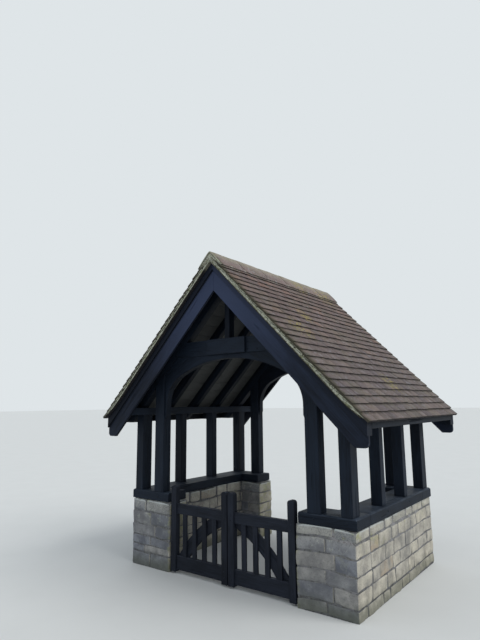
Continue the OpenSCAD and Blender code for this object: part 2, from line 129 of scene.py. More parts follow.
class Number:
    """A node's output. Plus, minus and times on it add Math nodes."""

    def __init__(self, nodes, socket):
        self.nodes = nodes
        self.socket = socket

    __add__ = __radd__ = operator("ADD")
    __mul__ = __rmul__ = operator("MULTIPLY")
    __sub__ = operator("SUBTRACT")
    __rsub__ = operator("SUBTRACT", swapped=True)
    larger = operator("MAXIMUM")

    def __abs__(self):
        return self.nodes.add("Math", {"operation": "ABSOLUTE"}, {0: self})

    def rise(self, low, high):
        """0 below the low value, 1 above the high one, and a smooth step between them."""
        sockets = {"Value": self, "From Min": low, "From Max": high}
        return self.nodes.add("MapRange", {"interpolation_type": "SMOOTHSTEP"}, sockets)


def paint(code):
    """A colour of six hex digits as the linear light that shaders work in, with its alpha."""
    share = np.array([int(code[i : i + 2], 16) for i in (1, 3, 5)]) / 255
    linear = np.where(share < 0.04045, share / 12.92, ((share + 0.055) / 1.055) ** 2.4)
    return (*linear.tolist(), 1.0)


class Nodes:
    """A tree of shader nodes that is being written."""

    def __init__(self, tree):
        self.tree = tree

    def put(self, socket, value):
        """Links a socket to another node's output, or sets it to a plain value or a colour code."""
        if isinstance(value, Number):
            self.tree.links.new(value.socket, socket)
        else:
            socket.default_value = paint(value) if isinstance(value, str) else value

    def add(self, kind, settings, sockets, output=0):
        """Adds a shader node. Gives one of its outputs back."""
        node = self.tree.nodes.new("ShaderNode" + kind)
        for name, value in settings.items():
            setattr(node, name, value)
        for name, value in sockets.items():
            self.put(node.inputs[name], value)
        return Number(self, node.outputs[output])


print("#808080 is", round(paint("#808080")[0], 3), "in linear light")


# %% Finish
class Finish(Nodes):
    """A material that is being written. place is the point of the object itself, in metres."""

    def __init__(self, name):
        self.material = bpy.data.materials.new(name)
        self.material.use_nodes = True
        super().__init__(self.material.node_tree)
        self.shader = self.tree.nodes["Principled BSDF"]
        self.place = self.add("TexCoord", {}, {}, "Object")

    def read(self, attribute, output="Fac"):
        """A value that the mesh carries at each of its points."""
        return self.add("Attribute", {"attribute_name": attribute}, {}, output)

    def part(self, axis):
        """One of the three coordinates of the point, in metres."""
        return self.add("SeparateXYZ", {}, {0: self.place}, axis)

    def facing(self, axis):
        """One part of the surface's direction. Z is 1 on top, 0 on a wall and -1 underneath."""
        normal = self.add("NewGeometry", {}, {}, "Normal")
        return self.add("SeparateXYZ", {}, {0: normal}, axis)

    def stretch(self, where, scale):
        """The same coordinates, scaled along each axis."""
        return self.add("Mapping", {}, {"Vector": where, "Scale": scale})

    def noise(self, scale, detail=3.0, roughness=0.55, where=None):
        """Soft random blotches, about 1/scale metres across, from 0 to 1 and mostly near 0.5."""
        sockets = {"Scale": scale, "Detail": detail, "Roughness": roughness}
        return self.add("TexNoise", {}, {"Vector": where or self.place, **sockets})

    def patches(self, middles, ragged):
        """1 within the given distance of any of the middles and 0 outside, with a ragged edge."""
        total = 0.0
        for middle, reach in middles:
            ends = {0: self.place, 1: middle}
            away = self.add("VectorMath", {"operation": "DISTANCE"}, ends, "Value")
            total = total + (away + ragged * reach).rise(reach * 1.6, reach * 0.7)
        return total

    def mix(self, first, second, share):
        """The first colour where the share is 0 and the second where it is 1."""
        return self.add("Mix", {"data_type": "RGBA"}, {0: share, 6: first, 7: second}, 2)

    def coat(self, colour, share):
        """Lays a colour over the one so far, by a share that may vary over the surface."""
        self.colour = self.mix(self.colour, colour, share)

    def done(self, roughness, relief, depth, shine):
        """Links the shader. The surface is tilted as if it stood out by relief times depth.

        The depth is in metres. The shine is 0.5 on a polished surface and falls as pores scatter it.
        """
        normal = self.add("Bump", {}, {"Height": relief, "Distance": depth})
        sockets = {"Base Color": self.colour, "Roughness": roughness, "Normal": normal}
        for name, value in {**sockets, "Specular IOR Level": shine}.items():
            self.put(self.shader.inputs[name], value)
        return self.material


print("a finish has", ", ".join(name for name in vars(Finish) if name[0] != "_"))


# %% [markdown]
# Dark timber
#
# The oak frame is stained blue-black. Under the stain the grain still shows as long streaks and fine
# cracks, and the arrises wear pale. One pattern for the whole model would run the same way through
# posts and rafters alike, so each piece carries a "grain" attribute instead: its own length, width
# and thickness as coordinates. Noise that is stretched along the length becomes fibres that follow
# every timber. Undersides are painted nearly black as painted shade, and so is the wood close under
# the tiles, as the painted shadow of their overhang, most of all on the left: the upright distance
# below the roof line tells where. With height the bargeboards fade to a bluer grey, and the boarding
# gets darker, as painted shade under the ridge. Old stain is nearly matt, so it shines little.

# %% Timber finishes
PITCH = np.radians(45.5)
# Ranges of distance below the roof line, for painted shade, and of height, in metres.
SHADE_BELOW_ROOF = (0.105, 0.075)
ALOFT = (2.1, 3.1)
# How finely each pattern repeats along, across and through a timber.
FIBRE = (1.3, 26.0, 26.0)
CRACK = (0.9, 15.0, 15.0)
BLOTCH = (2.0, 7.0, 7.0)

apex_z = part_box("bargeboards_right")[1].z


def timber(name, dark, middle, worn, wear, gloss, aloft, change, shade):
    """Stained wood: streaks along the grain between two colours, worn through at the arrises.

    With height it changes by a share towards the colour aloft. Undersides are painted darker by
    the shade share, as painted shade.
    """
    wood = Finish(name)
    grain = wood.read("grain", "Vector")
    fibre = wood.noise(4.0, 5.0, 0.65, wood.stretch(grain, FIBRE))
    blotch = wood.noise(1.0, where=wood.stretch(grain, BLOTCH))
    depth = fibre * 0.7 + blotch * 0.5 + wood.read("tone") * 0.14
    wood.colour = wood.mix(dark, middle, depth.rise(0.42, 0.86))
    cracks = wood.noise(1.6, 2.0, 0.4, wood.stretch(grain, CRACK))
    split = cracks.rise(0.655, 0.675) * blotch.rise(0.44, 0.56)
    # Painted shade: wood close under the roof, in the shadow of its overhang, darker most on the left.
    below_roof = apex_z - abs(wood.part("X")) * np.tan(PITCH) - wood.part("Z")
    on_left = wood.part("X").rise(0.05, -0.05)
    roof_shade = below_roof.rise(*SHADE_BELOW_ROOF) * (on_left * 0.5 + 0.4)
    # Painted shade: undersides darker by the shade share.
    underside_shade = wood.facing("Z").rise(-0.2, -0.6) * shade
    # With height towards the colour aloft; on the roof boarding this is painted shade under the ridge.
    wood.coat(aloft, (wood.part("Z") + blotch * 0.3).rise(*ALOFT) * change)
    wood.coat(dark, roof_shade + split * 0.4 + underside_shade)
    scuffed = wood.noise(9.0, 4.0).rise(0.42, 0.62)
    top = wood.facing("Z").rise(0.3, 0.9) * (scuffed * 0.6 + 0.5)
    wood.coat(worn, (wood.read("arris") * scuffed + top) * wear)
    relief = fibre * 0.6 + blotch * 0.6 - split * 1.6
    return wood.done(gloss + fibre * 0.16 + split * 0.2, relief, 0.0016, 0.12)


# Each row is a name, the dark, middle and worn colours, wear, gloss, the colour aloft, change, shade.
STAINS = {
    "dark_timber": ("stained oak", "#0d121a", "#1c2532", "#414b59", 0.50, 0.50, "#1c2532", 0.0, 0.8),
    "barge_timber": ("bargeboard oak", "#10141d", "#222a3a", "#49526a", 0.50, 0.50, "#3b4560", 0.75, 0.8),
    # The boarding's colour aloft is darker: painted shade up under the ridge.
    "bare_boards": ("roof boarding", "#4b4c4b", "#8b8d8b", "#a0a19c", 0.20, 0.72, "#3f4047", 0.70, 0.0),
    "gate_paint": ("gate stain", "#11151c", "#252a35", "#4a4f5b", 0.55, 0.52, "#252a35", 0.0, 0.8),
}
FINISHES = {slot: timber(*stain) for slot, stain in STAINS.items()}
print("timber finishes:", ", ".join(FINISHES))


# %% [markdown]
# Limestone
#
# The plinths are squared rubble of a pale limestone. Faces that look along the passage are a cool
# grey, and those that look to the right, where the sun falls, are painted cream as painted
# sunlight. Each stone has a "tone" of its own, which shifts it between the two and sometimes to
# rusty brown. Inside a stone there are soft clouds, small pits, and crusts of grey and yellow
# lichen, mostly in the upper courses. The rounded upper edges of the top course get a painted
# highlight from the sky. Rain splashes the lowest course, which stays darker and a little green.
# The ranges below are heights in metres. The last one, beside the gates, is of X squared, which
# is the same on both sides.

# %% Limestone finish
SPLASHED = (0.26, 0.08)
LICHENED = (0.35, 0.75)
WASHED = (0.595, 0.700)
# Heights of the painted highlight on the top edges.
HIGHLIGHT_HEIGHTS = (0.66, 0.71)
JAMB_SQUARED = (0.80, 0.72)


def limestone():
    """Grey or cream by tone and by painted sunlight, under soot, rain, lichen and splashes."""
    stone = Finish("limestone")
    high = stone.part("Z")
    tone = stone.read("tone")
    cloud = stone.noise(7.0, 5.0, 0.6)
    speck = stone.noise(95.0, 3.0, 0.6)
    clouded = cloud.rise(0.35, 0.65)
    grey = stone.mix("#62656e", "#82858c", clouded)
    cream = stone.mix("#98948b", "#bab5a8", clouded)
    # Painted sunlight: faces that look to the right, where the sun falls, turn cream.
    painted_sunlight = stone.facing("X").rise(0.2, 0.9) * 0.8
    stone.colour = stone.mix(grey, cream, tone.rise(0.4, 1.0) * 0.45 + painted_sunlight)
    stone.coat("#86705a", tone.rise(0.88, 0.94) * cloud.rise(0.4, 0.6) * 0.55)
    stone.coat("#595a57", speck.rise(0.54, 0.70) * 0.5)
    soot = stone.noise(3.1, 4.0, 0.6).rise(0.48, 0.66)
    stone.coat("#606265", soot * 0.5)
    washed = (high + cloud * 0.05).rise(*WASHED)
    stone.coat("#b3b2a6", washed * speck.rise(0.66, 0.40) * 0.35)
    crust = stone.noise(21.0, 4.0, 0.7)
    upper = high.rise(*LICHENED)
    stone.coat("#b4b8ad", crust.rise(0.57, 0.63) * (upper * 0.4 + 0.1))
    # Painted highlight from the sky on the rounded upper edges of the top course.
    top_highlight = (stone.facing("Z") + cloud * 0.3).rise(0.15, 0.6)
    stone.coat("#b9bfbe", top_highlight * high.rise(*HIGHLIGHT_HEIGHTS) * 0.85)
    yellow = stone.noise(5.3, 5.0, 0.7).rise(0.57, 0.66) * upper
    jamb = stone.part("X")
    beside_gate = (jamb * jamb + cloud * 0.1).rise(*JAMB_SQUARED) * crust.rise(0.42, 0.60)
    stone.coat("#8b8c50", yellow * 0.45 + beside_gate * 0.40)
    splash = (high + cloud * 0.12).rise(*SPLASHED)
    stone.coat("#575b4b", splash * 0.55)
    pits = stone.noise(46.0, 2.0, 0.5).rise(0.56, 0.76)
    return stone.done(0.86 + speck * 0.1, cloud * 1.6 + speck * 0.4 - pits * 0.5, 0.004, 0.25)


FINISHES["limestone"] = limestone()
print("limestone:", len(FINISHES["limestone"].node_tree.nodes), "nodes")


# %% [markdown]
# Clay tiles
#
# Hand-made clay tiles come out of the kiln in shades from plum to brown, which the "tone" of each
# tile picks. Lichen and a brown film of algae lie over several tiles at once, so they come from the
# place on the roof and not from the tile. The "run" attribute counts metres up from the tail of a
# tile: the tail's own face is painted dark, and so is the lap under the tile above, as painted
# shade together with dirt and moss. Moss also grows along the verges, and lime from the mortar has
# whitened the edges of the last tiles. Undersides are painted nearly black, as painted shade. The
# ridge tiles are of the same clay, and pale along their fold, where the rain runs off.

# %% Clay tile finish
# The middle and the reach of each patch of yellow lichen, in metres.
LICHEN = [
    ((0.83, -0.86, 2.60), 0.22),
    ((0.62, -0.42, 2.80), 0.16),
    ((1.38, 0.10, 2.03), 0.20),
    ((-0.95, 0.55, 2.46), 0.24),
    ((-1.30, -0.50, 2.10), 0.18),
    ((0.08, 0.35, 3.36), 0.22),
    ((0.10, 0.95, 3.34), 0.30),
]
# Ranges of height, and of Y squared at the verges.
SUNNY = (2.0, 3.0)
VERGE_MOSS = (1.275**2, 1.322**2)
VERGE_FACE = (1.330**2, 1.337**2)
# Ranges of distance: up from the tail of a tile, over the slope, and from the fold of the ridge.
UNDER_LAP = (0.076, 0.106)
TAIL_FACE = (0.006, 0.0)
NEAR_BED = (0.058, 0.046)
NEAR_FOLD = (0.120, 0.030)


def clay_tile(name, plum, brown, warm, crust, cover):
    """Weathered clay: plum to brown tiles under a crust of lichen that covers a share of them."""
    clay = Finish(name)
    tone = clay.read("tone")
    run = clay.read("run")
    cloud = clay.noise(11.0, 4.0, 0.6)
    sand = clay.noise(160.0, 2.0, 0.6)
    clay.colour = clay.mix(plum, brown, tone.rise(-0.2, 1.2))
    sunny = clay.part("Z").rise(*SUNNY) * (tone.rise(0.76, 0.90) * 0.35 + 0.2)
    clay.coat(warm, sunny)
    clay.coat("#45413f", cloud.rise(0.45, 0.7) * 0.55)
    film = clay.noise(3.4, 4.0, 0.65).rise(0.46, 0.64)
    clay.coat("#625e4f", film * 0.35)
    speck = clay.noise(60.0, 3.0, 0.7).rise(0.53, 0.62)
    clay.coat("#3d3937", speck * 0.4)
    spots = clay.noise(13.0, 4.0, 0.7)
    spread = spots.rise(0.52, 0.68)
    clay.coat(crust, spread * cover)
    fine_crust = clay.noise(48.0, 4.0, 0.7).rise(0.56, 0.64)
    clay.coat(crust, fine_crust * cover)
    yellow = clay.noise(31.0, 4.0, 0.75).rise(0.50, 0.60)
    clay.coat("#a0963f", yellow * clay.patches(LICHEN, spots) * 0.75)
    moss = clay.noise(17.0).rise(0.42, 0.6)
    # Painted shade on the tail faces and under the laps, with some dirt and moss in it.
    shade_and_dirt = clay.mix("#2b2625", "#3c3b2a", moss * 0.6)
    shaded = (run + cloud * 0.02).rise(*UNDER_LAP) * 0.7 + run.rise(*TAIL_FACE) * 0.8
    clay.coat(shade_and_dirt, shaded * spots.rise(0.25, 0.50))
    y_squared = clay.part("Y") * clay.part("Y")
    clay.coat("#3c3b2a", (y_squared + (spots - 0.5) * 0.5).rise(*VERGE_MOSS) * 0.7)
    crumbs = clay.noise(34.0, 4.0, 0.75).rise(0.40, 0.48)
    near_bed = (clay.read("over") + cloud * 0.02).rise(*NEAR_BED)
    clay.coat("#acaf9c", y_squared.rise(*VERGE_FACE) * crumbs * near_bed * 0.85)
    # Painted shade: undersides nearly black.
    clay.coat("#1d1b22", clay.facing("Z").rise(-0.2, -0.6) * 0.9)
    crest = (abs(clay.part("X")) + (spots - 0.5) * 0.2).rise(*NEAR_FOLD)
    clay.coat("#a09a8c", crest * 0.5)
    clay.coat("#5c604a", crest * moss * 0.45)
    return clay.done(0.8 + sand * 0.15, cloud * 0.8 + sand * 0.35 + spread * 0.3, 0.0022, 0.25)


FINISHES["clay_tile"] = clay_tile("clay tile", "#544c50", "#70645f", "#815f53", "#7f7f86", 0.42)
FINISHES["ridge_clay"] = clay_tile("ridge clay", "#655b5e", "#7a6c69", "#846c62", "#8f8f92", 0.60)
print("clay:", len(FINISHES["clay_tile"].node_tree.nodes), "nodes")


# %% [markdown]
# Mortar and iron
#
# Lime mortar is coarse: grit stands out of it, small holes are painted dark as painted shade, and
# moss gets a hold. Between the stones it is sooty, and on the roof it is pale. The straps and hooks
# of the gates are black wrought iron. Where rust has come through, it is brown, rougher and hardly
# metallic.

# %% Mortar and iron finishes
def lime_mortar(name, dark, pale, green):
    """Gritty lime mortar with soft clouds between two colours, some green moss and dark grit."""
    lime = Finish(name)
    grit = lime.noise(120.0, 3.0, 0.65)
    cloud = lime.noise(8.0, 4.0, 0.6)
    lime.colour = lime.mix(dark, pale, cloud.rise(0.35, 0.65))
    moss = lime.noise(19.0, 4.0, 0.7).rise(0.5, 0.62)
    lime.coat("#7d8150", moss * green)
    lime.coat("#66675c", grit.rise(0.55, 0.7) * 0.4)
    # Painted shade: small holes in the mortar are coloured dark.
    holes = lime.noise(42.0, 3.0, 0.7).rise(0.52, 0.60)
    lime.coat("#474840", holes * 0.6)
    return lime.done(0.9 - moss * 0.05, grit * 0.6 + cloud * 1.2, 0.004, 0.25)


def black_iron():
    """Forged iron, black where its scale holds and brown where rust has come through."""
    iron = Finish("black iron")
    scale = iron.noise(70.0, 4.0, 0.6)
    rust = iron.noise(24.0, 4.0, 0.65).rise(0.52, 0.66)
    iron.colour = iron.mix("#1f1f22", "#34343a", scale.rise(0.35, 0.65))
    iron.coat("#5b3a28", rust * 0.6)
    iron.put(iron.shader.inputs["Metallic"], 0.85 - rust * 0.7)
    return iron.done(0.5 + rust * 0.3, scale, 0.0008, 0.5)


FINISHES["lime_mortar"] = lime_mortar("lime mortar", "#9a9c90", "#bec0b0", 0.6)
FINISHES["sooty_mortar"] = lime_mortar("sooty mortar", "#66676a", "#838387", 0.1)
FINISHES["black_iron"] = black_iron()
print("finishes:", ", ".join(FINISHES))


# %% [markdown]
# From arrays to meshes
#
# Hundreds of stones and tiles are quick to make if all their points are computed at once, as one
# numpy array with a row for each copy. The build function joins the copies into one mesh, keeps
# numbers such as their tones as attributes for the finishes, and turns the faces round if the
# volume that they enclose comes out negative.

# %% Mesh builder
def xyz(x, y, z):
    """Points of three coordinates, which may be arrays or numbers and are stretched to one shape."""
    return np.stack(np.broadcast_arrays(x, y, z), axis=-1)


def volume(points, faces):
    """The volume inside the first copy: a sum of cones from the middle to each four-sided face."""
    corners = points[0][faces] - points[0].mean(axis=0)
    a, b, c, d = np.moveaxis(corners, 1, 0)
    return (np.cross(a, b) * c + np.cross(a, c) * d).sum() / 6


def carry(mesh, key, values, domain="POINT"):
    """Keeps a number or a vector for each point or face of a mesh, which its finish reads."""
    vector = values.ndim == 2
    layer = mesh.attributes.new(key, "FLOAT_VECTOR" if vector else "FLOAT", domain)
    layer.data.foreach_set("vector" if vector else "value", values.astype(np.float32).ravel())


def show(name, mesh, slot, body, finish=None):
    """Makes a mesh a piece that rides on a body. Its finish is the slot's, or another one."""
    mesh.materials.append(FINISHES[finish or slot])
    piece = stand(name, mesh)
    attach(piece, body)
    return piece


def build(name, points, faces, slot, body="structure", finish=None, **carried):
    """Joins copies of a shape into one piece.

    points has the shape copies, corners, 3 and faces index the corners of one copy. What is carried
    has a number or a vector for each copy and corner, or for either alone.
    """
    if volume(points, faces) < 0:
        faces = faces[:, ::-1]
    copies, corners = points.shape[:2]
    all_faces = (faces + corners * np.arange(copies)[:, None, None]).reshape(-1, 4)
    mesh = bpy.data.meshes.new(name)
    mesh.from_pydata(points.reshape(-1, 3), [], all_faces)
    for key, value in carried.items():
        full = np.broadcast_to(value, (copies, corners) + value.shape[2:])
        carry(mesh, key, full.reshape((copies * corners,) + value.shape[2:]))
    mesh.shade_smooth()
    print(f"{name}: {copies} made as one mesh of {2 * len(all_faces)} triangles")
    return show(name, mesh, slot, body, finish)


# %% [markdown]
# A rounded block
#
# Stones, tiles and boards are all blocks with softened edges. A block's skin is six grids that
# share the points along their edges. Along each axis a point has a share of the flat part, from -1
# to 1, and a lean that is 0 on the flat part and grows to 1 over the rounded edge. The place of a
# point is then the share of the flat half size, plus the edge radius along the direction in which
# the point leans. One grid serves every block, because only the sizes differ.

# %% Block grid
def quads(sheet):
    """The faces of a grid of point numbers, each as four corners in turn."""
    corners = [sheet[:-1, :-1], sheet[1:, :-1], sheet[1:, 1:], sheet[:-1, 1:]]
    return np.stack(corners, axis=-1).reshape(-1, 4)


def block_grid(flats, rounds):
    """The shares, leans and faces of a block's skin.

    flats is the number of grid lines on the flat part of each axis, and rounds the number that each
    rounded edge adds.
    """
    shares, leans = [], []
    for count in flats:
        edge = np.arange(1, rounds + 1) / rounds
        shares.append(np.concatenate([-np.ones(rounds), np.linspace(-1, 1, count), np.ones(rounds)]))
        leans.append(np.concatenate([-edge[::-1], np.zeros(count), edge]))
    sizes = [len(share) for share in shares]
    numbers = np.arange(np.prod(sizes)).reshape(sizes)
    sides = []
    for axis in range(3):
        layers = np.moveaxis(numbers, [axis, (axis + 1) % 3, (axis + 2) % 3], [0, 1, 2])
        sides += [quads(layers[-1]), quads(layers[0][::-1])]
    used, faces = np.unique(np.concatenate(sides), return_inverse=True)
    index = np.unravel_index(used, sizes)
    share, lean = (xyz(*(row[axis][index[axis]] for axis in range(3))) for row in (shares, leans))
    return share, lean / np.linalg.norm(lean, axis=-1, keepdims=True), faces.reshape(-1, 4)


def blocks(grid, middle, half, radius):
    """Points of many blocks: middle + share * (half - radius) + lean * radius.

    The radius of the edges is one number, or has a number for each block.
    """
    share, lean, _ = grid
    return middle[:, None] + share * (half[:, None] - radius) + lean * radius


def ripple(points, length, seed, waves=14):
    """Soft lumps about one unit high: sine waves of about the given length, run in all directions."""
    draw = np.random.default_rng(seed)
    heading = draw.normal(size=(waves, 3))
    heading /= np.linalg.norm(heading, axis=-1, keepdims=True)
    turns = heading * (2 * np.pi / (length * draw.uniform(0.6, 1.6, (waves, 1))))
    phase = draw.uniform(0, 2 * np.pi, waves)
    return np.sin(points @ turns.T + phase).sum(axis=-1) / np.sqrt(waves / 2)


def ripples(points, layers, seed):
    """The sum of several ripples, each given as a length and a height."""
    layers = enumerate(layers)
    return sum(ripple(points, length, seed + number) * height for number, (length, height) in layers)


print("a block with one line per edge has", len(block_grid((2, 2, 2), 1)[2]), "faces")


# %% [markdown]
# Plinths of coursed stone
#
# Each plinth is a wall with a short return at both ends. The stones run through its thickness, in
# six courses of uneven height, and the courses take turns at the corners: in one the long wall runs
# through, in the next the returns do. That is how a mason bonds a corner. Long and short stones
# take turns too, so that joints seldom stand over one another. Each stone is turned a little, its
# edges are rounded by weather, most of all in the top course, and soft waves bend all the courses
# together. A core of mortar, set back from the faces, fills the joints.

# %% Plinth sizes
WALL = 0.300
JOINT = 0.006
COURSES = {"left": [0.155, 0.080, 0.100, 0.125, 0.140], "right": [0.105, 0.140, 0.123, 0.140, 0.127]}
STONE_LENGTH = 0.27
STONE_SHARES = (0.88, 1.12)
LONG_AND_SHORT = 0.26
STONE_GRID = block_grid((5, 5, 3), 3)
STONE_EDGES = (0.010, 0.019)
TOP_EDGE = 0.026
STONE_LUMPS = [(0.16, 1.0), (0.05, 0.5)]
STONE_ROUGH = 0.0025
PATTERN_SHIFT = 9.0
STONE_TURN = 0.012
DEEPEST_HOLLOW = -1.4
WAVE = 0.0055
WAVE_LENGTH = 0.7
CORE_BACK = 0.0085

plinth_low, plinth_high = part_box("plinth_right")
passage_x, outer_x = plinth_low.x, plinth_high.x
front_y, back_y = plinth_low.y, plinth_high.y
plinth_top = plinth_high.z
print("plinth:", round(outer_x - passage_x, 3), "by", round(back_y - front_y, 3), "by", plinth_top)


# %% Stones of a plinth
def cut(start, end, draw):
    """Cuts a run into stones, long and short in turn. Gives their ends, a joint apart."""
    count = max(1, round((end - start) / STONE_LENGTH))
    turns = (-1.0) ** (np.arange(count) + draw.integers(2))
    share = draw.uniform(*STONE_SHARES, count) + LONG_AND_SHORT * turns
    ends = start + (end - start + JOINT) * np.concatenate([[0], np.cumsum(share)]) / share.sum()
    return zip(ends[:-1], ends[1:] - JOINT)


def course_boxes(through, low, high, draw):
    """The stones of one course, as rows of x, y and z from and to."""
    inner_x = outer_x - WALL
    rows = []
    for y0, y1 in ((front_y, front_y + WALL), (back_y - WALL, back_y)):
        end = outer_x if through else inner_x - JOINT
        rows += [(x0, x1, y0, y1, low, high) for x0, x1 in cut(passage_x, end, draw)]
    first, last = front_y, back_y
    if through:
        first, last = front_y + WALL + JOINT, back_y - WALL - JOINT
    return rows + [(inner_x, outer_x, y0, y1, low, high) for y0, y1 in cut(first, last, draw)]


def plinth_stones(courses, draw):
    """All stones of a plinth on the right side, as middles and half sizes."""
    beds = np.concatenate([[0], np.cumsum(courses), [plinth_top + JOINT]])
    rows = []
    for number, (low, high) in enumerate(zip(beds[:-1], beds[1:] - JOINT)):
        rows += course_boxes(number % 2 == 1, low, high, draw)
    ends = np.array(rows).reshape(-1, 3, 2)
    return ends.mean(axis=2), (ends[..., 1] - ends[..., 0]) / 2


def plinth(label, side, seed):
    """Builds the stones of one plinth and puts them in place of its solid."""
    draw = np.random.default_rng(seed)
    middle, half = plinth_stones(COURSES[label], draw)
    top = middle[:, 2] + half[:, 2] > plinth_top - JOINT
    edge = np.where(top, TOP_EDGE, draw.uniform(*STONE_EDGES, len(middle)))[:, None, None]
    points = blocks(STONE_GRID, middle, half, edge)
    apart = points + draw.uniform(-PATTERN_SHIFT, PATTERN_SHIFT, (len(middle), 1, 3))
    swell = np.maximum(ripples(apart, STONE_LUMPS, seed), DEEPEST_HOLLOW)[..., None]
    points = points + STONE_GRID[1] * (swell - 1) * STONE_ROUGH
    turn = draw.normal(0, STONE_TURN, (len(middle), 1))
    away = points - middle[:, None]
    wave = ripple(points * (1, 1, 0), WAVE_LENGTH, seed + 2) * WAVE
    points[..., 2] += turn * (away[..., 0] + away[..., 1]) + wave
    points[..., :2] -= (turn * away[..., 2])[..., None]
    points = np.clip(points, plinth_low, plinth_high) * (side, 1, 1)
    tone = draw.uniform(0, 1, (len(middle), 1))
    piece = build(f"stones_{label}", points, STONE_GRID[2], "limestone", tone=tone)
    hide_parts(f"plinth_{label}")


plinth("left", -1, 11)
plinth("right", 1, 23)


# %% [markdown]
# Slabs
#
# The other kind of shape here is a slab: an upper and a lower grid of the same size, joined along
# their borders. It may be bent in any way, because each grid is worked out from two parameters.
# The mortar core of a plinth is a slab whose long edges follow the plinth's outline.

# %% Slab faces
def slab_faces(rows, columns):
    """Faces of a slab whose points are an upper grid followed by a lower one."""
    top = np.arange(rows * columns).reshape(rows, columns)
    upper = quads(top)
    border = np.concatenate([top[0, :-1], top[:-1, -1], top[-1, :0:-1], top[:0:-1, 0]])
    after = np.roll(border, -1)
    under = rows * columns
    sides = np.stack([border, after, after + under, border + under], axis=-1)
    return np.concatenate([upper, upper[:, ::-1] + under, sides])


def slab(name, upper, lower, slot, **carried):
    """One piece of slabs: upper and lower have the shape slabs, rows, columns, 3."""
    slabs, rows, columns = upper.shape[:3]
    points = np.concatenate([upper.reshape(slabs, -1, 3), lower.reshape(slabs, -1, 3)], axis=1)
    return build(name, points, slab_faces(rows, columns), slot, **carried)


def plinth_line(depth):
    """The plinth's outline, as far inside its outer faces as the depth says."""
    start, side, front, back = passage_x + CORE_BACK, outer_x - depth, front_y + depth, back_y - depth
    return [(start, front), (side, front), (side, back), (start, back)]


def plinth_core(name, side):
    """Follows the plinth's outline, set back from the stone, from the floor to just under its top."""
    plan = np.stack([plinth_line(CORE_BACK), plinth_line(WALL - CORE_BACK)], axis=1) * (side, 1)
    upper, lower = (xyz(plan[..., 0], plan[..., 1], z)[None] for z in (plinth_top - CORE_BACK, 0))
    slab(name, upper, lower, "lime_mortar", finish="sooty_mortar")


plinth_core("plinth_mortar_left", -1)
plinth_core("plinth_mortar_right", 1)


# %% [markdown]
# The line of the roof
#
# The tiles lie on a plane that runs straight down to the eaves. The boarding under them is straight
# too, but near the eaves it sweeps up towards the tiles, which closes the roof to a thin edge.
# Everything on the roof is placed by two numbers: the distance down the slope from the apex, and
# the height over it. One function turns them into X and Z for the tiles, another for the boarding.

# %% Slope
SWEEP_RUN = 0.280
SWEEP_RADIUS = 1.400
COAT = 0.070

roof_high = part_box("tiles_right")[1]
eave_x, verge_y = roof_high.x, roof_high.y
sweep_x = eave_x - SWEEP_RUN
straight = sweep_x / np.cos(PITCH)
sweep_middle = (
    sweep_x + SWEEP_RADIUS * np.sin(PITCH),
    apex_z - sweep_x * np.tan(PITCH) + SWEEP_RADIUS * np.cos(PITCH),
)


def tile_plane(distance, height):
    """X and Z of a point: down the straight slope, then out along its normal."""
    x = distance * np.cos(PITCH) + height * np.sin(PITCH)
    z = apex_z - distance * np.sin(PITCH) + height * np.cos(PITCH)
    return np.stack([x, z], axis=-1)


def boarded(distance, height):
    """X and Z of a point: down the straight, then round the sweep, then out along its normal."""
    distance, height = np.broadcast_arrays(distance, height)
    angle = PITCH - (distance - straight) / SWEEP_RADIUS
    x = sweep_middle[0] - (SWEEP_RADIUS - height) * np.sin(angle)
    z = sweep_middle[1] - (SWEEP_RADIUS - height) * np.cos(angle)
    swept = np.stack([x, z], axis=-1)
    return np.where((distance > straight)[..., None], swept, tile_plane(distance, height))


def boarded_to(node):
    """The distance down the boarding at which it reaches the outer side of a node."""
    sine = (sweep_middle[0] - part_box(node)[1].x) / SWEEP_RADIUS
    return float(straight + (PITCH - np.arcsin(sine)) * SWEEP_RADIUS)


print("boarding:", round(boarded_to("tiles_right"), 3), "m from the apex to the eaves")


# %% [markdown]
# Laying the tiles
#
# A plain tile is 265 by 165 mm and hangs on a batten so that only its lowest 100 mm show: two
# others lie under its tail. Each course shifts by half a tile, and every other course closes at the
# verge with a tile and a half. A tile is a block that is cambered a little and tilted so that its
# head slips under the course above. Each has its own small errors, as no roof is laid true, and
# only a few dozen faces, because there are hundreds.

# %% Tile sizes
GAUGE = 0.100
TILE_LENGTH = 0.265
TILE_THICK = 0.012
TILES_ACROSS = 16
TILE_GRID = block_grid((3, 3, 0), 1)
TILE_GAP = 0.0025
TILE_EDGE = 0.0032
CAMBER = 0.0026
CAMBER_SHARES = (0.4, 1.3)
CAMBER_ACROSS = 0.5
EDGE_MARGIN = 0.002
HEAD_ROOM = 0.020
EAVES_TILE = 0.165
TAIL_SLIP = 0.0028
TILE_TURN = 0.006
TILE_LEAN = 0.008
TAIL_LIFT = 0.0012
TONE_SPREAD = 2.4

tail_end = (eave_x - EDGE_MARGIN - COAT * np.sin(PITCH)) / np.cos(PITCH)
course_count = int((tail_end - HEAD_ROOM) / GAUGE)
tails = tail_end - GAUGE * np.arange(course_count)
print("tiles:", course_count, "courses, the last with its tail at", round(tails[-1], 3), "m")


# %% Tile places
def tile_rows():
    """Course number, middle and half width of every tile, from the short eaves course, number -1."""
    unit = 2 * verge_y / TILES_ACROSS
    rows = []
    for number in range(-1, course_count):
        odd = number % 2
        joints = unit * (1 + odd / 2 + np.arange(TILES_ACROSS - 1 - odd)) - verge_y
        edges = np.concatenate([[-verge_y], joints, [verge_y]])
        rows.append(xyz(number, edges[:-1], edges[1:]))
    course, lower, upper = np.concatenate(rows).T
    return course.astype(int), (lower + upper) / 2, (upper - lower - TILE_GAP) / 2


